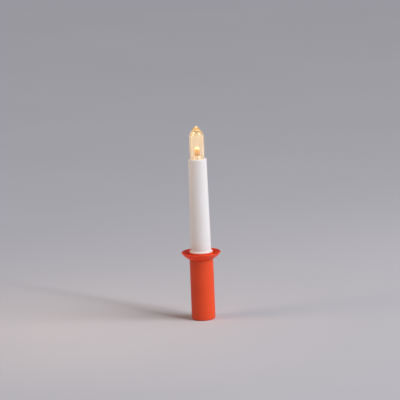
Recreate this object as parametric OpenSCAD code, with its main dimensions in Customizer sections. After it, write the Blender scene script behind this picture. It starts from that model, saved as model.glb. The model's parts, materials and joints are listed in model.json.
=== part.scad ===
// Hand-held flameless LED candle: red handle with a drip dish, white candle that lifts out, clear bulb.
// Millimetres, +Z up. The origin is the middle of the handle's bottom edge, at the ground.

/* [Holder] */
// Height of the drip dish's rim above the ground
rim_z = 70; // [69.6:0.1:70.4]
// Outer radius of the handle
handle_r = 12.1; // [12:0.05:12.4]
// Outer radius of the drip dish's rim
rim_r = 20; // [19.6:0.1:21]
// Radius of the rounded bottom edge of the handle
bottom_round = 1.7; // [1.4:0.1:2.4]

/* [Candle] */
// Height of the white tube's top
tube_top_z = 166.5; // [164:0.5:169]
// Outer radius of the white tube just above its foot
tube_base_r = 10.35; // [10.2:0.05:10.5]
// Outer radius of the white tube at its top
tube_top_r = 9.25; // [9.15:0.05:9.4]
// Radius of the foot ring that stands on the holder
foot_r = 11.7; // [11.4:0.1:11.9]

/* [Flame bulb] */
// Height of the whole candle, at the tip of the bulb
total_h = 200; // [198:0.5:202]
// Outer radius of the bulb's straight part
bulb_r = 7.5; // [7.4:0.05:7.6]

/* [Battery] */
// Radius of the AA cell
cell_r = 7.1; // [7:0.05:7.25]
// Length of the AA cell with its positive cap
cell_len = 50.4; // [50:0.1:50.5]

/* [Hidden] */
$fn = 96;
WIRE_SIDES = 10;
eps = 0.01;

// Holder
bore_r = 10.6;
lip_r = 9.4;
lip_h = 2.7;
seat_z = rim_z - 0.4;
flare_start_z = rim_z - 7.6;
flare_end_r = rim_r - 0.9;
flare_end_z = rim_z - 1.9;
rim_round = 0.5;
moat_r = 13.6;
moat_z = rim_z - 5;

// Candle tube
core_r = 10.3;
core_bore_r = 8.9;
core_bottom_z = 3.1;
foot_top_z = seat_z + 1.6;
tube_wall_top = 1.6;
tube_inner_top_r = 7.8;
bore_end_z = 64.6;
tube_hole_r = 7.02;

// Flame bulb and lamp
bulb_neck_r = 7.1;
bulb_cavity_r = 6.1;
skirt_r = 6.9;
skirt_bottom_z = tube_top_z - 6.5;
cone_half_angle = 39;
shoulder_r = 9;
tip_r = 1.5;
lamp_z = tube_top_z + 3.1;
led_r = 2.5;
led_flange_r = 2.9;
led_flange_h = 1;
led_body_h = 7.6;
led_leg = 0.5;
leg_x = 1.27;
leg_bottom_z = tube_top_z - 11;

// Bottom cap and switch
cap_face_z = 0.5;
cap_face_t = 2.2;
cap_flange_r = 9.2;
cap_plug_r = 8.83;
cap_bore_r = 7.65;
cap_plug_top_z = 9.9;
pocket_depth = 1.2;
board_z = 8.4;
board_t = 1;
board_r = 7.45;
screw_x = 5.6;
boss_r = 1.5;
pilot_r = 0.85;
switch_l = 8.6;
switch_w = 4.2;
switch_h = 3.6;
slider_travel = 2;
slider_w = 2;
slider_end_z = 0.9;
pin_pitch = 2.5;

// Battery and spring
cell_z = 14.6;
cell_top_z = cell_z + cell_len;
seal_z = cell_top_z - 2.6;
can_r = cell_r - 0.15;
can_t = 0.3;
core_z = cell_z + 0.5;
spring_wire_r = 0.3;
spring_turns = 4.5;
spring_base_r = 3.4;
spring_top_r = 2.1;

// Carrier, contacts and booster board
carrier_r = 8.7;
carrier_bore_r = 7.5;
carrier_z = 12.4;
contact_t = 0.3;
carrier_plate_z = cell_top_z + contact_t;
carrier_plate_t = 1.4;
carrier_window_w = 10;
strip_t = 0.3;
strip_w = 3;
strip_y = 8.3;
foot_y = carrier_bore_r + 0.1;
strip_top_z = carrier_plate_z + 8;
pcb_w = 13;
pcb_t = 1;
pcb_z = carrier_plate_z + carrier_plate_t;
pcb_h = 27;
rail_h = 11;
pad_z = pcb_z + pcb_h - 4;
insulation_r = 0.6;

// Points of an arc about c, from angle a to angle b
function arc(c, r, a, b, n = 12) = [for (i = [0:n]) let (t = a + (b - a) * i / n) c + r * [cos(t), sin(t)]];

// A point on the cubic curve through four control points
function bezier(p, t) = pow(1 - t, 3) * p[0] + 3 * t * pow(1 - t, 2) * p[1]
    + 3 * t * t * (1 - t) * p[2] + pow(t, 3) * p[3];
function bezier_points(p, n) = [for (i = [0:n]) bezier(p, i / n)];

// A round tube of radius r swept along points
function unit(v) = v / norm(v);
function tangent(p, i) = unit(p[min(i + 1, len(p) - 1)] - p[max(i - 1, 0)]);
function ring(p, i, r, n, up) = let (t = tangent(p, i), u = unit(cross(t, up)), v = cross(t, u))
    [for (k = [0:n - 1]) p[i] + r * (cos(360 * k / n) * u + sin(360 * k / n) * v)];

// up is any direction that the route never follows
module swept_tube(p, r, up, n = WIRE_SIDES) {
    last = len(p) - 1;
    points = [for (i = [0:last]) each ring(p, i, r, n, up)];
    walls = [for (i = [0:last - 1], k = [0:n - 1])
        [i * n + k, (i + 1) * n + k, (i + 1) * n + (k + 1) % n, i * n + (k + 1) % n]];
    caps = [[for (k = [0:n - 1]) k], [for (k = [n - 1:-1:0]) last * n + k]];
    polyhedron(points = points, faces = concat(walls, caps), convexity = 8);
}

module slab(size, z) {
    translate([-size.x / 2, -size.y / 2, z]) cube(size);
}

// A screw with a domed head, head side up, its head resting at z = 0
module pan_screw(head_r, head_h, shank_r, shank_l) {
    difference() {
        union() {
            rotate_extrude() polygon(concat([[0, 0], [head_r, 0]],
                [for (i = [0:8]) [head_r * cos(i * 11.25), head_h * (0.3 + 0.7 * sin(i * 11.25))]]));
            translate([0, 0, -shank_l]) cylinder(r = shank_r, h = shank_l + eps);
            translate([0, 0, -shank_l - shank_r]) cylinder(r1 = 0.1, r2 = shank_r, h = shank_r + eps);
        }
        for (a = [0, 90]) rotate(a) slab([head_r * 1.1, 0.35, head_h], head_h * 0.45);
    }
}

// Handle and drip dish in one moulding; the lip at the bottom turns inward
module holder_sleeve() {
    color("orangered") rotate_extrude() polygon(concat(
        [[lip_r, 0]],
        arc([handle_r - bottom_round, bottom_round], bottom_round, -90, 0, 10),
        bezier_points([[handle_r, flare_start_z], [handle_r + 2.6, flare_start_z + 1.6],
            [flare_end_r - 1.8, flare_end_z - 2.4], [flare_end_r, flare_end_z]], 14),
        bezier_points([[flare_end_r + 0.3, flare_end_z + 0.25], [rim_r - 0.35, rim_z - 1.4],
            [rim_r - 0.05, rim_z - 1], [rim_r, rim_z - rim_round]], 6),
        arc([rim_r - rim_round, rim_z - rim_round], rim_round, 8, 180, 10),
        bezier_points([[rim_r - 1.15, rim_z - 0.62], [rim_r - 1.9, rim_z - 1.5],
            [moat_r + 2.3, moat_z + 0.5], [moat_r, moat_z]], 10),
        arc([handle_r + 0.9, moat_z + 0.9], 0.9, -90, -180, 6),
        arc([handle_r - 0.5, seat_z - 0.5], 0.5, 0, 90, 5),
        [[bore_r + 0.3, seat_z], [bore_r, seat_z - 0.3], [bore_r, lip_h], [lip_r, lip_h]]));
}

// White candle: tapered tube, foot ring and the core that stands inside the handle
module candle_tube() {
    inner_top_z = tube_top_z - tube_wall_top;
    color("white") rotate_extrude() polygon(concat(
        [[core_bore_r, core_bottom_z], [core_r - 0.4, core_bottom_z], [core_r, core_bottom_z + 0.4],
            [core_r, seat_z - 0.2], [core_r + 0.2, seat_z]],
        arc([foot_r - 0.7, seat_z + 0.7], 0.7, -90, 0, 6),
        arc([foot_r - 0.8, foot_top_z - 0.8], 0.8, 0, 75, 6),
        arc([tube_base_r + 0.6, foot_top_z + 0.6], 0.6, 255, 180, 6),
        arc([tube_top_r - 1, tube_top_z - 1], 1, 0, 90, 8),
        [[tube_hole_r, tube_top_z], [tube_hole_r, inner_top_z], [tube_inner_top_r, inner_top_z],
            [core_bore_r, bore_end_z]]));
}

// Clear bulb: a shell with a thick pointed tip and a skirt that clips into the tube
module flame_cover() {
    cone_r = bulb_r - shoulder_r * (1 - cos(cone_half_angle));
    tip_top_r = tip_r * cos(cone_half_angle);
    tip_z = total_h - tip_r + tip_r * sin(cone_half_angle);
    cone_z = tip_z - (cone_r - tip_top_r) / tan(cone_half_angle);
    shoulder_z = cone_z - shoulder_r * sin(cone_half_angle);
    cavity_top_z = shoulder_z + 1.2;
    dome_h = 4;
    color("moccasin", 0.5) rotate_extrude() polygon(concat(
        [[bulb_cavity_r - 0.4, skirt_bottom_z], [skirt_r - 0.3, skirt_bottom_z],
            [skirt_r, skirt_bottom_z + 0.4], [skirt_r, tube_top_z - 3],
            [skirt_r + 0.35, tube_top_z - 2.5], [skirt_r + 0.35, tube_top_z - 2.1],
            [skirt_r, tube_top_z - tube_wall_top], [skirt_r, tube_top_z], [bulb_neck_r, tube_top_z],
            [bulb_neck_r + 0.05, tube_top_z + 0.6]],
        bezier_points([[bulb_neck_r + 0.12, tube_top_z + 1.2], [bulb_r - 0.12, tube_top_z + 2.6],
            [bulb_r - 0.02, tube_top_z + 4.2], [bulb_r, tube_top_z + 6.4]], 6),
        arc([bulb_r - shoulder_r, shoulder_z], shoulder_r, 0, cone_half_angle, 14),
        arc([0, total_h - tip_r], tip_r, cone_half_angle, 90, 8),
        [[0, cavity_top_z + dome_h]],
        [for (a = [78.75:-11.25:0]) [bulb_cavity_r * cos(a), cavity_top_z + dome_h * sin(a)]],
        [[bulb_cavity_r, tube_top_z + 4], [bulb_cavity_r - 0.4, tube_top_z + 1.5]]));
}

// Seat inside the top of the tube: a disc under the bulb's skirt and a post that carries the LED
module lamp_seat() {
    disc_z = skirt_bottom_z - 1.6;
    color("whitesmoke") difference() {
        union() {
            translate([0, 0, disc_z]) cylinder(r = 7.7, h = 1.6);
            translate([0, 0, disc_z + 1.6 - eps]) cylinder(r = 5.6, h = 2.2);
            translate([0, 0, disc_z + 3.8 - 2 * eps]) cylinder(r1 = 5.6, r2 = 3.5, h = 2.2);
            translate([0, 0, disc_z + 6 - 3 * eps]) cylinder(r = 3.5, h = lamp_z - disc_z - 6 + 3 * eps);
        }
        for (s = [-1, 1]) translate([s * leg_x, 0, disc_z - 1]) cylinder(r = 0.5, h = 30, $fn = 24);
    }
}

// Five-millimetre LED with a flange; a cavity inside holds the lead frame
module led_lens() {
    dome_z = lamp_z + led_flange_h + led_body_h - led_r;
    color("gold") difference() {
        rotate_extrude() polygon(concat(
            [[0, lamp_z], [led_flange_r, lamp_z], [led_flange_r, lamp_z + led_flange_h],
                [led_r, lamp_z + led_flange_h]],
            arc([0, dome_z], led_r, 0, 90, 12)));
        led_frame(0.02);
    }
}

// Lead frame: two legs, the wide one with the reflector cup
module led_frame(grow) {
    frame_z = lamp_z + 2.6;
    leg = led_leg + 2 * grow;
    for (s = [-1, 1]) translate([s * leg_x, 0, 0]) slab([leg, leg, frame_z - leg_bottom_z], leg_bottom_z);
    translate([leg_x - 0.5, 0, 0]) slab([2 + 2 * grow, leg, 1 + 2 * grow], frame_z - grow);
    translate([-leg_x - 0.2, 0, 0]) slab([0.9 + 2 * grow, leg, 1 + 2 * grow], frame_z - grow);
    translate([leg_x - 0.9, 0, frame_z + 1])
        cylinder(r1 = 0.5 + grow, r2 = 0.9 + grow, h = 0.8 + grow, $fn = 32);
}

module led_leads() {
    color("silver") difference() {
        led_frame(0);
        translate([leg_x - 0.9, 0, lamp_z + 3.9]) cylinder(r1 = 0.3, r2 = 0.7, h = 0.51, $fn = 32);
    }
}

// Route of one LED wire, from its pad on the board to its leg; s is -1 or 1
function wire_route(s) = bezier_points([[s * 3, -pcb_t / 2 - insulation_r - 0.02, pad_z],
    [s * 3, -pcb_t / 2 - insulation_r - 0.02, pad_z + 26], [s * (1.6 + s * 1.2), s * 2.4, leg_bottom_z - 26],
    [s * leg_x, 0, leg_bottom_z - 0.03]], 24);

module wire_red() {
    color("red") swept_tube(wire_route(-1), insulation_r, [0, 1, 0]);
}

module wire_black() {
    color("black") swept_tube(wire_route(1), insulation_r, [0, 1, 0]);
}

module circuit_board() {
    color("darkgreen") slab([pcb_w, pcb_t, pcb_h], pcb_z);
}

// Small chip with six gull-wing legs
module boost_chip() {
    chip_z = pcb_z + 14;
    front_y = -pcb_t / 2;
    color("black") translate([-3.2, front_y - 0.75, chip_z]) cube([1.6, 1.1, 2.9], center = true);
    color("silver") for (s = [-1, 1], k = [-1:1])
        translate([-3.2 + s * 1.1, front_y - 0.1, chip_z + k * 0.95]) cube([0.6, 0.2, 0.4], center = true);
}

// Ferrite bobbin of the booster's inductor, its axis standing off the board
module inductor_core() {
    color("dimgray") translate([2.4, -pcb_t / 2, pcb_z + 12]) rotate([90, 0, 0]) {
        cylinder(r = 2.6, h = 0.8);
        cylinder(r = 1.1, h = 3.6);
        translate([0, 0, 2.8]) cylinder(r = 2.6, h = 0.8);
    }
}

module inductor_winding() {
    color("peru") translate([2.4, -pcb_t / 2 - 0.8, pcb_z + 12]) rotate([90, 0, 0])
        rotate_extrude() difference() {
            translate([1.1, 0]) square([1.15, 2]);
            for (k = [0:3]) translate([2.42, 0.25 + 0.5 * k]) circle(r = 0.2, $fn = 24);
        }
}

// Electrolytic capacitor, lying along the board
module capacitor() {
    can_r = 2.1;
    color("navy") translate([-2.7, -pcb_t / 2 - can_r - 0.05, pcb_z + 3.4]) {
        rotate_extrude() polygon([[0, 0], [can_r - 0.3, 0], [can_r, 0.3], [can_r, 1], [can_r - 0.2, 1.2],
            [can_r, 1.4], [can_r, 6.1], [can_r - 0.3, 6.4], [0, 6.4]]);
        for (s = [-1, 1]) translate([s * 0.8, 0, -2]) cylinder(r = 0.25, h = 2 + eps, $fn = 24);
    }
}

// Solder on the board's front: one bead under each wire pad, leg and coil end
module solder_joints() {
    spots = [[-3, 22.2], [3, 22.2], [4.1, 6], [5.3, 17.5], [-3.4, 18.4], [0, 21]];
    color("lightgray") for (p = spots) translate([p.x, -pcb_t / 2, pcb_z + p.y]) rotate([90, 0, 0])
        rotate_extrude() polygon([[0, 0], [0.75, 0], [0.6, 0.25], [0.25, 0.45], [0, 0.5]]);
}

// Cradle for the cell, open on one side, with a top plate and two rails for the board
module battery_carrier() {
    window_top_z = cell_top_z - 4;
    color("gray") difference() {
        union() {
            translate([0, 0, carrier_z]) cylinder(r = carrier_r, h = pcb_z - carrier_z);
            for (s = [-1, 1]) translate([s * (pcb_w / 2 - 0.2), 0, 0])
                slab([2.4, 3.6, carrier_plate_t + rail_h - 0.2], carrier_plate_z + 0.2);
        }
        translate([0, 0, carrier_z - 1]) cylinder(r = carrier_bore_r, h = carrier_plate_z - carrier_z + 1);
        translate([-carrier_window_w / 2, -carrier_r - 1, carrier_z + 5])
            cube([carrier_window_w, carrier_r, window_top_z - carrier_z - 5]);
        // Groove for the return strip, and slots for the board and the contact's tab
        translate([-strip_w / 2 - 0.1, strip_y - 0.05, carrier_z - 1]) cube([strip_w + 0.2, 2, 80]);
        slab([pcb_w + 0.1, pcb_t + 0.1, pcb_h + 1], pcb_z);
        translate([-4.1, 0.45, carrier_plate_z - 1]) cube([2.2, 0.45, 4]);
    }
}

// Plate that the cell's positive cap presses on, with a tab up to the board's back
module positive_contact() {
    color("silver") difference() {
        union() {
            translate([0, 0, cell_top_z]) cylinder(r = 5.6, h = contact_t);
            translate([-4, pcb_t / 2, cell_top_z]) cube([2, contact_t, 7]);
        }
        for (a = [45:90:315]) rotate(a) translate([4.2, 0, cell_top_z - 1])
            cylinder(r = 0.6, h = 2, $fn = 24);
    }
}

// Flat strip that carries the negative side past the cell to the board's back
module return_strip() {
    foot_z = carrier_z - strip_t;
    color("silver") translate([-strip_w / 2, 0, 0]) {
        translate([0, strip_y, foot_z]) cube([strip_w, strip_t, strip_top_z + strip_t - foot_z]);
        translate([0, foot_y, foot_z]) cube([strip_w, strip_y - foot_y + eps, strip_t]);
        translate([0, pcb_t / 2, strip_top_z]) cube([strip_w, strip_y - pcb_t / 2 + eps, strip_t]);
    }
}

// Steel can with its flat negative base and the groove that holds the seal
module battery_can() {
    color("silver") rotate_extrude() polygon(concat(
        [[0, cell_z], [4.2, cell_z], [4.5, cell_z + 0.25], [can_r - 0.8, cell_z + 0.25]],
        arc([can_r - 0.6, cell_z + 0.9], 0.6, -60, 0, 4),
        [[can_r, cell_top_z - 4.4], [can_r - 0.5, cell_top_z - 3.9], [can_r - 0.5, cell_top_z - 3.5],
            [can_r, cell_top_z - 3]],
        arc([can_r - 0.5, cell_top_z - 2.3], 0.5, 0, 90, 4),
        [[5.6, cell_top_z - 1.8], [5.6, seal_z], [can_r - 0.8, seal_z], [can_r - 0.8, seal_z - 1.8],
            [can_r - can_t, seal_z - 2.2], [can_r - can_t, core_z], [0, core_z]]));
}

// Active mass that fills the can under the seal
module battery_core() {
    color("dimgray") rotate_extrude() polygon([[0, core_z], [can_r - can_t, core_z],
        [can_r - can_t, seal_z - 2.2], [can_r - 0.8, seal_z - 1.8], [can_r - 0.8, seal_z], [0, seal_z]]);
}

// Printed sleeve shrunk round the can
module battery_jacket() {
    color("darkslategray") translate([0, 0, cell_z + 1]) difference() {
        cylinder(r = cell_r, h = cell_len - 5.6);
        translate([0, 0, -1]) cylinder(r = can_r, h = cell_len);
    }
}

module battery_seal() {
    color("ivory") translate([0, 0, seal_z]) difference() {
        cylinder(r = 5.6, h = 1);
        translate([0, 0, -1]) cylinder(r = 3.9, h = 3);
    }
}

module battery_cap() {
    color("silver") rotate_extrude() polygon([[0, seal_z], [3.9, seal_z], [3.9, cell_top_z - 1.6],
        [2.75, cell_top_z - 1.4], [2.75, cell_top_z - 0.3], [2.45, cell_top_z], [0, cell_top_z]]);
}

// Pull-out cap: flush face with a recess for the switch, plug wall and two screw bosses
module end_cap() {
    face_top_z = cap_face_z + cap_face_t;
    color("white") difference() {
        union() {
            rotate_extrude() polygon(concat(
                [[0, cap_face_z]],
                arc([cap_flange_r - 0.5, cap_face_z + 0.5], 0.5, -90, 0, 6),
                [[cap_flange_r, core_bottom_z - 0.1], [cap_plug_r, core_bottom_z - 0.1],
                    [cap_plug_r, cap_plug_top_z - 0.6], [cap_plug_r - 0.4, cap_plug_top_z],
                    [cap_bore_r, cap_plug_top_z],
                    [cap_bore_r, face_top_z], [0, face_top_z]]));
            for (s = [-1, 1]) translate([s * screw_x, 0, face_top_z - eps])
                cylinder(r = boss_r, h = board_z - face_top_z + eps);
        }
        // Recess with round ends, and the slot that the slider moves in
        for (y = [-3, 3]) translate([0, y, cap_face_z - 1]) cylinder(r = 2.6, h = pocket_depth + 1);
        slab([5.2, 6, pocket_depth + 1], cap_face_z - 1);
        slab([slider_w + 0.3, slider_w + slider_travel + 0.4, 5], cap_face_z);
        for (s = [-1, 1]) translate([s * screw_x, 0, face_top_z + 0.6]) cylinder(r = pilot_r, h = 8);
        // Finger-nail notch in the flange for pulling the cap out
        translate([-2.5, -cap_flange_r - 1, cap_face_z + 0.9]) cube([5, 1.9, 0.9]);
    }
}

module cap_board() {
    color("darkgreen") translate([0, 0, board_z]) difference() {
        cylinder(r = board_r, h = board_t);
        for (s = [-1, 1]) translate([s * screw_x, 0, -1]) cylinder(r = pilot_r + 0.1, h = 3);
        for (k = [-1:1]) translate([0, k * pin_pitch, -1]) cylinder(r = 0.4, h = 3, $fn = 24);
    }
}

module cap_screws() {
    color("lightgray") for (s = [-1, 1]) translate([s * screw_x, 0, board_z + board_t])
        pan_screw(1.4, 0.9, pilot_r - 0.05, 4.2);
}

// Metal frame of the slide switch, with a window for the slider's neck
module switch_body() {
    color("darkgray") difference() {
        slab([switch_w, switch_l, switch_h], board_z - switch_h);
        slab([switch_w - 0.8, slider_w + slider_travel + 2.4, 1.6], board_z - switch_h + 0.4);
        slab([slider_w + 0.2, slider_w + slider_travel + 0.3, 1], board_z - switch_h - 0.2);
    }
}

// Slider in the position that lights the lamp, towards +Y
module switch_slider() {
    y = slider_travel / 2;
    color("black") translate([0, y, 0]) {
        difference() {
            slab([slider_w, slider_w, board_z - switch_h + 0.5 - slider_end_z], slider_end_z);
            for (k = [-1:1]) translate([0, k * 0.6, slider_end_z]) rotate([0, 90, 0])
                cylinder(r = 0.16, h = 3, center = true, $fn = 24);
        }
        slab([switch_w - 1.1, slider_w + 1.2, 1.1], board_z - switch_h + 0.5);
    }
}

module switch_pins() {
    color("silver") for (k = [-1:1]) translate([0, k * pin_pitch, board_z])
        cylinder(r = 0.35, h = board_t + 0.4, $fn = 24);
}

// Conical spring under the cell, wound up from the board
module negative_spring() {
    steps_per_turn = 20;
    flat_turns = 0.75;
    spring_taper = spring_base_r - spring_top_r;
    gap = 0.03;
    base_z = board_z + board_t + spring_wire_r + gap;
    rise = cell_z - spring_wire_r - gap - base_z;
    function climb(turn) = min(1, max(0, (turn - flat_turns) / (spring_turns - 2 * flat_turns)));
    route = [for (i = [0:steps_per_turn * spring_turns])
        let (turn = i / steps_per_turn, r = spring_base_r - spring_taper * turn / spring_turns)
        [r * cos(360 * turn), r * sin(360 * turn), base_z + rise * climb(turn)]];
    color("gainsboro") swept_tube(route, spring_wire_r, [0, 0, 1], 8);
}

// Leaf on the board's edge that presses on the foot of the return strip
module cap_contact() {
    z0 = board_z + board_t;
    top_z = carrier_z - strip_t - 0.05;
    color("silver") translate([-strip_w / 2 + 0.2, 0, 0]) rotate([90, 0, 90]) linear_extrude(strip_w - 0.4)
        polygon([[4.6, z0], [7.1, z0], [7.35, z0 + 0.25], [7.35, z0 + 0.9], [8.15, top_z - 0.35],
            [8.1, top_z - 0.1], [7.9, top_z], [7.75, top_z - 0.2], [7.85, top_z - 0.4], [7.1, z0 + 0.95],
            [7.1, z0 + 0.35], [7, z0 + 0.25], [4.6, z0 + 0.25]]);
}

holder_sleeve();
candle_tube();
flame_cover();
lamp_seat();
led_lens();
led_leads();
wire_red();
wire_black();
circuit_board();
boost_chip();
inductor_core();
inductor_winding();
capacitor();
solder_joints();
battery_carrier();
positive_contact();
return_strip();
battery_can();
battery_core();
battery_jacket();
battery_seal();
battery_cap();
end_cap();
cap_board();
cap_screws();
switch_body();
switch_slider();
switch_pins();
negative_spring();
cap_contact();
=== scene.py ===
"""Hand-held flameless LED candle: looks, small mesh pieces, floor, light and camera round the CAD model."""

import json
import math

import bmesh
import bpy
from mathutils import Matrix, Vector


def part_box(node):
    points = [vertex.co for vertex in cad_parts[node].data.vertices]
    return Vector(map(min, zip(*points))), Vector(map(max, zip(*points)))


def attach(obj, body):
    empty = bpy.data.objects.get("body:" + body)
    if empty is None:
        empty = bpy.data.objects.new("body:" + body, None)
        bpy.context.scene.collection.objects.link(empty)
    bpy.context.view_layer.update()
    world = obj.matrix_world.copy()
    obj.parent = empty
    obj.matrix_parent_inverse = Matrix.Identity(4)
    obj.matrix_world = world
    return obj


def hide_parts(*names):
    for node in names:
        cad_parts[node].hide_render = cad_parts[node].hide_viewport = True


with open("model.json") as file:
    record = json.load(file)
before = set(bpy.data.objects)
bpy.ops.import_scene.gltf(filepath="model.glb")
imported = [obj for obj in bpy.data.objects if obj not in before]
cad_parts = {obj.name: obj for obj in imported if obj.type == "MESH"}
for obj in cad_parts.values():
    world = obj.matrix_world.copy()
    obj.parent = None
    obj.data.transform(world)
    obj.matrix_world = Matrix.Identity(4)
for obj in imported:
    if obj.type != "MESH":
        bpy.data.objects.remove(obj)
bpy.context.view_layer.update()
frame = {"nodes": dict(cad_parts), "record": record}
scene = bpy.context.scene
MM = 0.001
NOISE_ROUGHNESS = 0.55
HAIR_STRETCH = 0.03          # how much longer a scratch is than it is wide, as a scale on its length
FLOOR_SIZE = 30.0
LENS = 271.0
SENSOR = 36.0
CAMERA_AT = (0.001, -3.0, 0.712)
CAMERA_TO = (0.001, 0, 0.1235)
CAMERA_ROLL = math.radians(-2.3)
SUN_ANGLE = math.radians(40)


# ---------------------------------------------------------------- materials

class Look:
    """One material round its Principled shader. Texture sizes are in metres, in the row frame."""

    def __init__(self, name, **constants):
        self.mat = bpy.data.materials.new(name)
        self.mat.use_nodes = True
        self.tree = self.mat.node_tree
        self.shader = next(n for n in self.tree.nodes if n.type == "BSDF_PRINCIPLED")
        self.point = self.add("ShaderNodeTexCoord").outputs["Object"]
        self.constants(**constants)

    def constants(self, **values):
        for key, value in values.items():
            self.shader.inputs[key.replace("_", " ")].default_value = value

    def add(self, kind, inputs=None, **props):
        node = self.tree.nodes.new(kind)
        for key, value in props.items():
            setattr(node, key, value)
        for key, value in (inputs or {}).items():
            self.plug(node.inputs[key], value)
        return node

    def plug(self, socket, value):
        if isinstance(value, bpy.types.NodeSocket):
            self.tree.links.new(value, socket)
        else:
            socket.default_value = value

    def to(self, name, value):
        self.plug(self.shader.inputs[name], value)

    def math(self, operation, a, b=0.0, clamp=False):
        return self.add("ShaderNodeMath", {0: a, 1: b}, operation=operation, use_clamp=clamp).outputs[0]

    def axis(self, letter):
        return self.add("ShaderNodeSeparateXYZ", {"Vector": self.point}).outputs[letter]

    def noise(self, size, detail=3.0, stretch=(1, 1, 1)):
        """Noise from 0 to 1, its features about size metres across, longer where stretch is under 1."""
        where = self.add("ShaderNodeMapping", {"Vector": self.point, "Scale": stretch}).outputs[0]
        return self.add("ShaderNodeTexNoise", {"Vector": where, "Scale": 1 / size, "Detail": detail,
                                               "Roughness": NOISE_ROUGHNESS}).outputs["Fac"]

    def cells(self, size, feature="F1"):
        """Distance in cells about size metres across."""
        return self.add("ShaderNodeTexVoronoi", {"Vector": self.point, "Scale": 1 / size},
                        feature=feature).outputs["Distance"]

    def span(self, value, low, high, to_low=0.0, to_high=1.0):
        """value from low..high to to_low..to_high, clamped."""
        return self.add("ShaderNodeMapRange", {"Value": value, "From Min": low, "From Max": high,
                                               "To Min": to_low, "To Max": to_high}).outputs["Result"]

    def mix(self, factor, a, b):
        node = self.add("ShaderNodeMix", data_type="RGBA")
        self.plug(node.inputs[0], factor)
        self.plug(node.inputs[6], (*a, 1) if isinstance(a, tuple) and len(a) == 3 else a)
        self.plug(node.inputs[7], (*b, 1) if isinstance(b, tuple) and len(b) == 3 else b)
        return node.outputs[2]

    def bump(self, height, depth, normal=None):
        """Relief of depth metres from a height of 0 to 1."""
        inputs = {"Height": height, "Distance": depth, "Strength": 1.0}
        if normal is not None:
            inputs["Normal"] = normal
        return self.add("ShaderNodeBump", inputs).outputs["Normal"]


def scratches(look, length_axis=2):
    """Thin lines along one axis, from 0 to 1."""
    stretch = [1.0, 1.0, 1.0]
    stretch[length_axis] = HAIR_STRETCH
    fine = look.noise(0.7 * MM, 2, tuple(stretch))
    patch = look.noise(14 * MM, 2)
    return look.math("MULTIPLY", look.span(fine, 0.62, 0.7), look.span(patch, 0.5, 0.62))


def plastic(name, light, dark, roughness, relief=12e-6, patch=16 * MM, **constants):
    """Moulded plastic: cloudy colour, a fine grain, uneven gloss and a few rubbed lines."""
    look = Look(name, **constants)
    cloud = look.noise(patch, 4)
    grain = look.noise(0.35 * MM, 3)
    lines = scratches(look)
    look.to("Base Color", look.mix(look.span(cloud, 0.3, 0.7), light, dark))
    gloss = look.span(look.math("ADD", cloud, look.math("MULTIPLY", grain, 0.5)), 0.4, 1.1,
                      roughness - 0.07, roughness + 0.08)
    look.to("Roughness", look.math("ADD", gloss, look.math("MULTIPLY", lines, 0.12), clamp=True))
    swell = look.bump(look.noise(9 * MM, 2), 60e-6)
    height = look.math("SUBTRACT", grain, look.math("MULTIPLY", lines, 0.8))
    look.to("Normal", look.bump(height, relief, swell))
    return look


def metal(name, light, dark, roughness, stretch=(1, 1, 1), relief=5e-6, tarnish=4 * MM, **constants):
    """Plated or drawn metal: streaks along one axis and faint tarnish."""
    look = Look(name, Metallic=1.0, **constants)
    stain = look.noise(tarnish, 4)
    streak = look.noise(0.3 * MM, 3, stretch)
    look.to("Base Color", look.mix(look.span(stain, 0.35, 0.75), light, dark))
    look.to("Roughness", look.span(look.math("ADD", streak, stain), 0.6, 1.4,
                                   roughness - 0.08, roughness + 0.12))
    look.to("Normal", look.bump(streak, relief))
    return look


def holder_red():
    low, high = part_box("holder_sleeve")
    look = plastic("holder_red", (0.8, 0.071, 0.011), (0.73, 0.057, 0.008), 0.44, relief=14e-6,
                   Specular_IOR_Level=0.38)
    look.constants(Subsurface_Radius=(1.0, 0.25, 0.12), Subsurface_Scale=3.5 * MM)
    # The thin dish lets the light from above through to its underside
    look.to("Subsurface Weight", look.span(look.axis("Z"), high.z - 8.2 * MM, high.z - 7 * MM, 0.05, 1.0))
    # Rubbed paler along the bottom edge and the dish's rim
    height = look.axis("Z")
    worn = look.noise(1.6 * MM, 4)
    edge = look.math("ADD", look.span(height, low.z + 1.6 * MM, low.z, 0, 0.34),
                     look.span(height, high.z - 1.2 * MM, high.z, 0, 0.22))
    rub = look.math("MULTIPLY", edge, look.span(worn, 0.5, 0.66))
    base = look.shader.inputs["Base Color"].links[0].from_socket
    look.to("Base Color", look.mix(rub, base, (0.9, 0.3, 0.2)))
    return look


def candle_white():
    look = plastic("candle_white", (0.69, 0.695, 0.72), (0.67, 0.67, 0.69), 0.42, relief=8e-6, patch=30 * MM,
                   Subsurface_Weight=0.3, Subsurface_Scale=2.5 * MM, Specular_IOR_Level=0.5)
    look.constants(Subsurface_Radius=(1.0, 0.78, 0.6))
    # Long flow marks down the tube
    flow = look.noise(3 * MM, 2, (1, 1, 0.05))
    base = look.shader.inputs["Base Color"].links[0].from_socket
    look.to("Base Color", look.mix(look.span(flow, 0.5, 0.9, 0, 0.25), base, (0.62, 0.6, 0.58)))
    # Painted glow: a faint warm emission on the white plastic, strongest near the top, that lifts the tube's
    # shaded side
    low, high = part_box("candle_tube")
    reach = 20 * MM
    uneven = look.math("ADD", look.axis("Z"), look.math("MULTIPLY", flow, reach))
    painted_glow = look.span(uneven, low.z, high.z + reach)
    look.to("Emission Color", look.mix(painted_glow, (0.84, 0.6, 0.4), (1.0, 0.76, 0.52)))
    look.constants(Emission_Strength=0.1)
    return look


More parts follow.
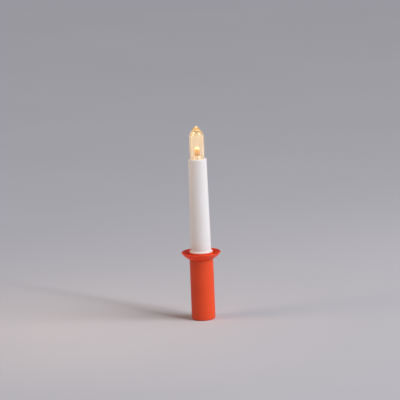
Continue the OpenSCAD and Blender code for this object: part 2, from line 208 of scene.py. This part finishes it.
def bulb_clear():
    low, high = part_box("flame_cover")
    look = Look("bulb_clear", Transmission_Weight=1.0, IOR=1.49)
    height = look.axis("Z")
    rise = look.span(height, low.z, high.z)
    cloud = look.noise(5 * MM, 3)
    # Long waves in the wall: real waviness in the relief, and painted reflection streaks in the glow below
    streak = look.noise(4 * MM, 2, (1, 1, 0.12))
    look.to("Base Color", look.mix(look.span(cloud, 0.3, 0.7), (1.0, 0.975, 0.94), (1.0, 0.96, 0.9)))
    look.to("Roughness", look.span(look.noise(1.2 * MM, 4), 0.35, 0.75, 0.015, 0.07))
    look.to("Normal", look.bump(streak, 250e-6, look.bump(look.noise(4 * MM, 2), 30e-6)))
    # Painted glow: warm emission, yellower towards the top, standing in for the lamp's light scattered in
    # the cover; the pink streaks in it are painted reflections
    painted_glow = look.mix(look.span(rise, 0.05, 0.5), (0.72, 0.46, 0.3), (1.0, 0.7, 0.22))
    look.to("Emission Color", look.mix(look.span(streak, 0.46, 0.62), painted_glow, (0.66, 0.42, 0.22)))
    look.constants(Emission_Strength=0.15)
    # Amber where the plastic is thick: the tip and the edges seen along the wall
    amber = look.add("ShaderNodeVolumeAbsorption", {"Color": (1.0, 0.76, 0.42, 1), "Density": 60.0})
    output = next(n for n in look.tree.nodes if n.type == "OUTPUT_MATERIAL")
    look.tree.links.new(amber.outputs[0], output.inputs["Volume"])
    return look


def seat_white():
    """White plastic with painted light from the lamp above, brighter towards the top."""
    low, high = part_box("lamp_seat")
    look = plastic("seat_white", (0.82, 0.8, 0.75), (0.77, 0.75, 0.7), 0.5)
    # Painted light from the lamp: warm emission, stronger higher up the seat
    near = look.math("MULTIPLY", look.span(look.axis("Z"), low.z, high.z),
                     look.span(look.noise(1.5 * MM), 0.2, 0.6, 0.8, 1))
    look.to("Emission Color", look.mix(near, (0.3, 0.16, 0.09), (1.0, 0.62, 0.38)))
    look.constants(Emission_Strength=0.12)
    return look


def led_epoxy():
    low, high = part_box("led_lens")
    look = Look("led_epoxy", Transmission_Weight=0.35, IOR=1.52)
    cloud = look.noise(0.8 * MM, 3)
    height = look.math("ADD", look.span(look.axis("Z"), low.z, high.z), look.math("MULTIPLY", cloud, 0.12))
    body = look.mix(look.span(height, 0.2, 0.6), (0.62, 0.3, 0.11), (0.85, 0.55, 0.22))
    look.to("Base Color", body)
    look.to("Roughness", look.span(cloud, 0.3, 0.7, 0.05, 0.16))
    look.to("Normal", look.bump(cloud, 10e-6))
    fire = look.mix(look.span(height, 0.1, 0.7), (0.01, 0.003, 0.0005), (0.05, 0.022, 0.004))
    look.to("Emission Color", look.mix(look.span(height, 0.8, 0.98), fire, (1.0, 0.85, 0.45)))
    look.constants(Emission_Strength=1.8)
    return look


def board_green():
    look = Look("board_green", Specular_IOR_Level=0.5)
    weave = look.noise(0.5 * MM, 2)
    track = look.cells(2.4 * MM, "DISTANCE_TO_EDGE")
    copper = look.span(track, 0.05, 0.07, 1, 0)
    mask = look.mix(look.span(weave, 0.4, 0.7), (0.012, 0.11, 0.035), (0.018, 0.14, 0.05))
    look.to("Base Color", look.mix(copper, mask, (0.05, 0.24, 0.08)))
    look.to("Roughness", look.span(weave, 0.3, 0.7, 0.26, 0.42))
    look.to("Normal", look.bump(look.math("ADD", copper, look.math("MULTIPLY", weave, 0.2)), 25e-6))
    return look


def chip_black():
    """Dull moulded resin; the metal legs stand beside the body, so they are told apart by their place."""
    low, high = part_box("boost_chip")
    middle, half, soft = (low.x + high.x) / 2, 0.83 * MM, 0.01 * MM
    look = Look("chip_black")
    grain = look.noise(0.15 * MM, 3)
    away = look.math("ABSOLUTE", look.math("SUBTRACT", look.axis("X"), middle))
    leg = look.span(away, half - soft, half + soft)
    look.to("Metallic", leg)
    resin = look.mix(grain, (0.012, 0.012, 0.013), (0.03, 0.03, 0.032))
    look.to("Base Color", look.mix(leg, resin, (0.72, 0.7, 0.66)))
    look.to("Roughness", look.span(grain, 0.3, 0.7, 0.45, 0.6))
    look.to("Normal", look.bump(grain, 12e-6))
    return look


def copper_wire():
    look = metal("copper", (0.86, 0.36, 0.16), (0.7, 0.25, 0.1), 0.24, Coat_Weight=0.6, Coat_Roughness=0.12)
    turns = look.math("SINE", look.math("MULTIPLY", look.axis("Y"), 2 * math.pi / (0.25 * MM)))
    look.to("Normal", look.bump(turns, 50e-6))
    return look


def capacitor_sleeve():
    """Dark blue sleeve with a pale stripe down one side and a bare aluminium top."""
    low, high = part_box("capacitor")
    middle_x = (low.x + high.x) / 2
    look = Look("capacitor_blue", Specular_IOR_Level=0.5)
    film = look.noise(1.5 * MM, 3)
    stripe = look.math("MULTIPLY", look.span(look.axis("X"), middle_x - 1.5 * MM, middle_x - 1.55 * MM),
                       look.span(look.noise(0.8 * MM, 1), 0.2, 0.25))
    top = look.span(look.axis("Z"), high.z - 0.12 * MM, high.z - 0.1 * MM)
    legs = look.span(look.axis("Z"), low.z + 2.0 * MM, low.z + 1.98 * MM)
    bare = look.math("MAXIMUM", top, legs)
    sleeve = look.mix(stripe, look.mix(film, (0.012, 0.025, 0.12), (0.02, 0.04, 0.17)), (0.6, 0.63, 0.68))
    look.to("Base Color", look.mix(bare, sleeve, (0.75, 0.75, 0.76)))
    look.to("Metallic", bare)
    look.to("Roughness", look.span(film, 0.3, 0.7, 0.2, 0.36))
    look.to("Normal", look.bump(film, 15e-6))
    return look


def cell_jacket():
    """Shrunk film with a silver band near the positive end, thin rings and a generic plus and minus."""
    low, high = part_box("battery_jacket")
    look = Look("cell_jacket", Specular_IOR_Level=0.5, Coat_Weight=0.5, Coat_Roughness=0.08)
    height = look.axis("Z")
    across = look.axis("X")
    film = look.noise(6 * MM, 3)
    wrinkle = look.noise(2.2 * MM, 3, (1, 1, 0.25))

    soft, long, thick = 0.05 * MM, 2.2 * MM, 0.5 * MM

    def band(z0, z1):
        return look.math("MULTIPLY", look.span(height, z0 - soft, z0 + soft),
                         look.span(height, z1 + soft, z1 - soft))

    def bar(half_x, middle_z, half_z):
        inside = look.math("MULTIPLY", look.span(across, -half_x - soft, -half_x + soft),
                           look.span(across, half_x + soft, half_x - soft))
        return look.math("MULTIPLY", inside, band(middle_z - half_z, middle_z + half_z))

    colour = look.mix(look.span(film, 0.3, 0.7), (0.012, 0.07, 0.1), (0.02, 0.1, 0.13))
    silver_grey = (0.62, 0.63, 0.64)
    silver = band(high.z - 13 * MM, high.z)
    colour = look.mix(silver, colour, silver_grey)
    for z in (high.z - 14.2 * MM, low.z + 3 * MM):
        colour = look.mix(band(z, z + 0.6 * MM), colour, (0.72, 0.6, 0.3))
    plus_z, minus_z = high.z - 6.5 * MM, low.z + 8 * MM
    plus = look.math("MAXIMUM", bar(long, plus_z, thick), bar(thick, plus_z, long))
    colour = look.mix(plus, colour, (0.03, 0.04, 0.05))
    colour = look.mix(bar(long, minus_z, thick), colour, silver_grey)
    look.to("Base Color", colour)
    look.to("Metallic", look.math("MULTIPLY", silver, 0.85))
    look.to("Roughness", look.span(wrinkle, 0.3, 0.7, 0.2, 0.34))
    look.to("Normal", look.bump(wrinkle, 30e-6))
    return look


def rubbery(name, light, dark):
    """Soft insulation: fine pitting and a dull sheen."""
    look = Look(name, Sheen_Weight=0.15, Sheen_Roughness=0.4)
    pits = look.noise(0.25 * MM, 3)
    look.to("Base Color", look.mix(look.span(look.noise(5 * MM, 3), 0.35, 0.7), light, dark))
    look.to("Roughness", look.span(pits, 0.3, 0.7, 0.42, 0.58))
    look.to("Normal", look.bump(pits, 12e-6))
    return look


def grainy(name, light, dark, roughness, size, relief):
    """Sintered, pressed or cast stuff with visible grain."""
    look = Look(name)
    grain = look.cells(size)
    cloud = look.noise(size * 6, 4)
    look.to("Base Color", look.mix(look.math("MULTIPLY", grain, cloud), light, dark))
    look.to("Roughness", look.span(cloud, 0.3, 0.7, roughness - 0.08, roughness + 0.08))
    look.to("Normal", look.bump(grain, relief))
    return look


MATERIALS = {
    "holder_red": holder_red(),
    "candle_white": candle_white(),
    "bulb_clear": bulb_clear(),
    "seat_white": seat_white(),
    "led_epoxy": led_epoxy(),
    "nickel": metal("nickel", (0.78, 0.75, 0.68), (0.62, 0.58, 0.5), 0.24, (1, 1, 0.08)),
    "wire_red": rubbery("wire_red", (0.55, 0.02, 0.015), (0.42, 0.012, 0.01)),
    "wire_black": rubbery("wire_black", (0.02, 0.02, 0.022), (0.035, 0.035, 0.036)),
    "board_green": board_green(),
    "black_resin": plastic("black_resin", (0.022, 0.022, 0.024), (0.035, 0.035, 0.037), 0.42),
    "ferrite": grainy("ferrite", (0.05, 0.05, 0.052), (0.012, 0.012, 0.013), 0.6, 0.3 * MM, 30e-6),
    "copper": copper_wire(),
    "capacitor_blue": capacitor_sleeve(),
    "solder": metal("solder", (0.7, 0.71, 0.72), (0.5, 0.5, 0.5), 0.3, relief=20e-6, tarnish=1 * MM),
    "carrier_grey": plastic("carrier_grey", (0.1, 0.1, 0.105), (0.075, 0.075, 0.08), 0.55, relief=25e-6),
    "cell_steel": metal("cell_steel", (0.74, 0.74, 0.72), (0.6, 0.6, 0.58), 0.26, (0.1, 0.1, 1)),
    "cell_paste": grainy("cell_paste", (0.05, 0.048, 0.045), (0.02, 0.02, 0.02), 0.85, 0.4 * MM, 60e-6),
    "cell_jacket": cell_jacket(),
    "cell_seal": plastic("cell_seal", (0.78, 0.76, 0.68), (0.68, 0.66, 0.58), 0.5),
    "screw_steel": metal("screw_steel", (0.68, 0.68, 0.68), (0.52, 0.52, 0.53), 0.28),
    "switch_steel": metal("switch_steel", (0.6, 0.6, 0.58), (0.48, 0.48, 0.46), 0.34, (0.06, 1, 1)),
    "spring_steel": metal("spring_steel", (0.76, 0.75, 0.72), (0.62, 0.6, 0.55), 0.2, (0.3, 0.3, 1)),
}
CHIP = chip_black()


def paint(obj, look):
    obj.data.materials.clear()
    obj.data.materials.append(look.mat)


for part in frame["record"]["subparts"]:
    paint(frame["nodes"][part["node"]], MATERIALS[part["material_slot"]])
paint(frame["nodes"]["boost_chip"], CHIP)


# ---------------------------------------------------------------- small pieces in mesh code

def mesh_object(name, bm, look, body):
    """A finished piece: mesh, material and body."""
    bmesh.ops.recalc_face_normals(bm, faces=bm.faces)
    mesh = bpy.data.meshes.new(name)
    bm.to_mesh(mesh)
    bm.free()
    for face in mesh.polygons:
        face.use_smooth = True
    obj = bpy.data.objects.new(name, mesh)
    scene.collection.objects.link(obj)
    paint(obj, look)
    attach(obj, body)
    return obj


def sweep(bm, path, radius, sides, closed=False):
    """Round tube along path, with flat ends unless the path closes."""
    rings = []
    up = Vector((0, 0, 1))
    count = len(path)
    for i, p in enumerate(path):
        before = path[(i - 1) % count] if closed or i else path[0]
        after = path[(i + 1) % count] if closed or i < count - 1 else path[-1]
        along = (after - before).normalized()
        across = along.cross(up).normalized()
        third = along.cross(across)
        rings.append([bm.verts.new(p + radius * (math.cos(a) * across + math.sin(a) * third))
                      for a in (2 * math.pi * k / sides for k in range(sides))])
    pairs = list(zip(rings, rings[1:])) + ([(rings[-1], rings[0])] if closed else [])
    for a, b in pairs:
        for k in range(sides):
            bm.faces.new((a[k], a[(k + 1) % sides], b[(k + 1) % sides], b[k]))
    if not closed:
        bm.faces.new(rings[0])
        bm.faces.new(rings[-1])


def spring_coil():
    """Smooth conical spring in the room of the CAD one, from its widest turn up to its narrowest."""
    low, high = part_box("negative_spring")
    wire_r, clear = 0.3 * MM, 0.05 * MM
    wide = (high.x - low.x) / 2 - wire_r - clear
    narrow, turns, flat, steps, sides = 2.1 * MM - clear, 4.5, 0.75, 64, 14
    ease = 0.3
    base, top = low.z + wire_r, high.z - wire_r
    path = []
    for i in range(int(turns * steps) + 1):
        turn = i / steps
        climb = min(1.0, max(0.0, (turn - flat) / (turns - 2 * flat)))
        climb = climb * climb * (3 - 2 * climb) * ease + climb * (1 - ease)
        r = wide - (wide - narrow) * turn / turns
        angle = 2 * math.pi * turn
        path.append(Vector((r * math.cos(angle), r * math.sin(angle), base + (top - base) * climb)))
    bm = bmesh.new()
    sweep(bm, path, wire_r - 0.01 * MM, sides)
    obj = mesh_object("spring_coil", bm, MATERIALS["spring_steel"], "bottom_cap")
    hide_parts("negative_spring")


spring_coil()


def cap_marks():
    """Raised bar and ring beside the switch: on towards +Y, off towards -Y."""
    low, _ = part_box("end_cap")
    face_z, out = low.z + 0.02 * MM, 7.1 * MM
    bar_half, ring_r, line_r = 0.8, 0.75 * MM, 0.17 * MM
    steps, sides = 40, 10
    bm = bmesh.new()
    bar = [Vector((x * MM, out, face_z)) for x in (-bar_half, -bar_half / 2, 0, bar_half / 2, bar_half)]
    sweep(bm, bar, line_r, sides)
    ring = [Vector((ring_r * math.cos(a), -out + ring_r * math.sin(a), face_z))
            for a in (2 * math.pi * k / steps for k in range(steps))]
    sweep(bm, ring, line_r, sides, closed=True)
    mesh_object("cap_marks", bm, MATERIALS["candle_white"], "bottom_cap")


cap_marks()


# ---------------------------------------------------------------- floor, light and camera

def floor():
    bm = bmesh.new()
    bmesh.ops.create_grid(bm, x_segments=8, y_segments=8, size=FLOOR_SIZE)
    mesh = bpy.data.meshes.new("floor")
    bm.to_mesh(mesh)
    bm.free()
    obj = bpy.data.objects.new("floor", mesh)
    scene.collection.objects.link(obj)
    look = Look("floor", Specular_IOR_Level=0.2)
    grain = look.noise(2 * MM, 3)
    cloud = look.span(look.noise(0.3, 2), 0.3, 0.7)
    look.to("Base Color", look.mix(cloud, (0.585, 0.58, 0.625), (0.6, 0.595, 0.64)))
    look.to("Roughness", look.span(grain, 0.3, 0.7, 0.75, 0.85))
    look.to("Normal", look.bump(grain, 10e-6))
    obj.data.materials.append(look.mat)


floor()


def aim(obj, place, target, roll=0.0):
    obj.location = place
    direction = Vector(target) - Vector(place)
    turn = direction.to_track_quat("-Z", "Y").to_matrix().to_4x4() @ Matrix.Rotation(roll, 4, "Z")
    obj.rotation_euler = turn.to_euler()


def lamp(name, kind, place, target, energy, colour, **props):
    data = bpy.data.lights.new(name, kind)
    data.energy = energy
    data.color = colour
    for key, value in props.items():
        setattr(data, key, value)
    obj = bpy.data.objects.new(name, data)
    scene.collection.objects.link(obj)
    aim(obj, place, target)


def panel(name, place, target, energy, colour, width, height):
    """A rectangular soft light."""
    lamp(name, "AREA", place, target, energy, colour, shape="RECTANGLE", size=width, size_y=height)


BASE, MIDDLE, BULB = (0, 0, 0), (0, 0, 0.11), (0, 0, 0.19)
COOL, WHITE, WARM, AMBER = (0.98, 0.99, 1.0), (1.0, 0.99, 0.97), (1.0, 0.97, 0.95), (1.0, 0.72, 0.48)
lamp("key", "SUN", (0.78, -0.36, 0.62), BASE, 2.0, (0.99, 0.99, 1.0), angle=SUN_ANGLE)
panel("softbox", (2.05, -1.25, 1.6), MIDDLE, 14.0, COOL, 1.4, 2.4)
# Two narrow panels for the highlights down the bulb and the tube
panel("strip", (1.05, -1.0, 1.0), (0, 0, 0.17), 3.2, WHITE, 0.06, 0.9)
panel("top", (0.42, -0.4, 1.25), BULB, 1.6, WHITE, 0.09, 1.1)
panel("rim", (0.5, 0.3, 0.25), MIDDLE, 0.2, WARM, 0.15, 0.45)
panel("fill", (-0.22, -0.05, 0.3), (0, 0, 0.13), 0.3, AMBER, 0.1, 0.16)

world = bpy.data.worlds.new("studio")
scene.world = world
world.use_nodes = True
background = world.node_tree.nodes["Background"]
links, nodes = world.node_tree.links, world.node_tree.nodes
up = nodes.new("ShaderNodeSeparateXYZ")
links.new(nodes.new("ShaderNodeTexCoord").outputs["Generated"], up.inputs[0])
# As dark as the far floor at the horizon, paler above it, dim overhead
sky = nodes.new("ShaderNodeValToRGB")
stops = sky.color_ramp.elements
stops[0].position, stops[0].color = 0.01, (0.3, 0.305, 0.325, 1)
stops[1].position, stops[1].color = 0.5, (0.1, 0.097, 0.105, 1)
stops.new(0.26).color = (0.42, 0.415, 0.44, 1)
links.new(up.outputs["Z"], sky.inputs["Fac"])
links.new(sky.outputs["Color"], background.inputs["Color"])

camera_data = bpy.data.cameras.new("camera")
camera_data.lens = LENS
camera_data.sensor_width = SENSOR
camera = bpy.data.objects.new("camera", camera_data)
scene.collection.objects.link(camera)
aim(camera, CAMERA_AT, CAMERA_TO, CAMERA_ROLL)
scene.camera = camera
scene.view_settings.view_transform = "Standard"
scene.view_settings.look = "None"
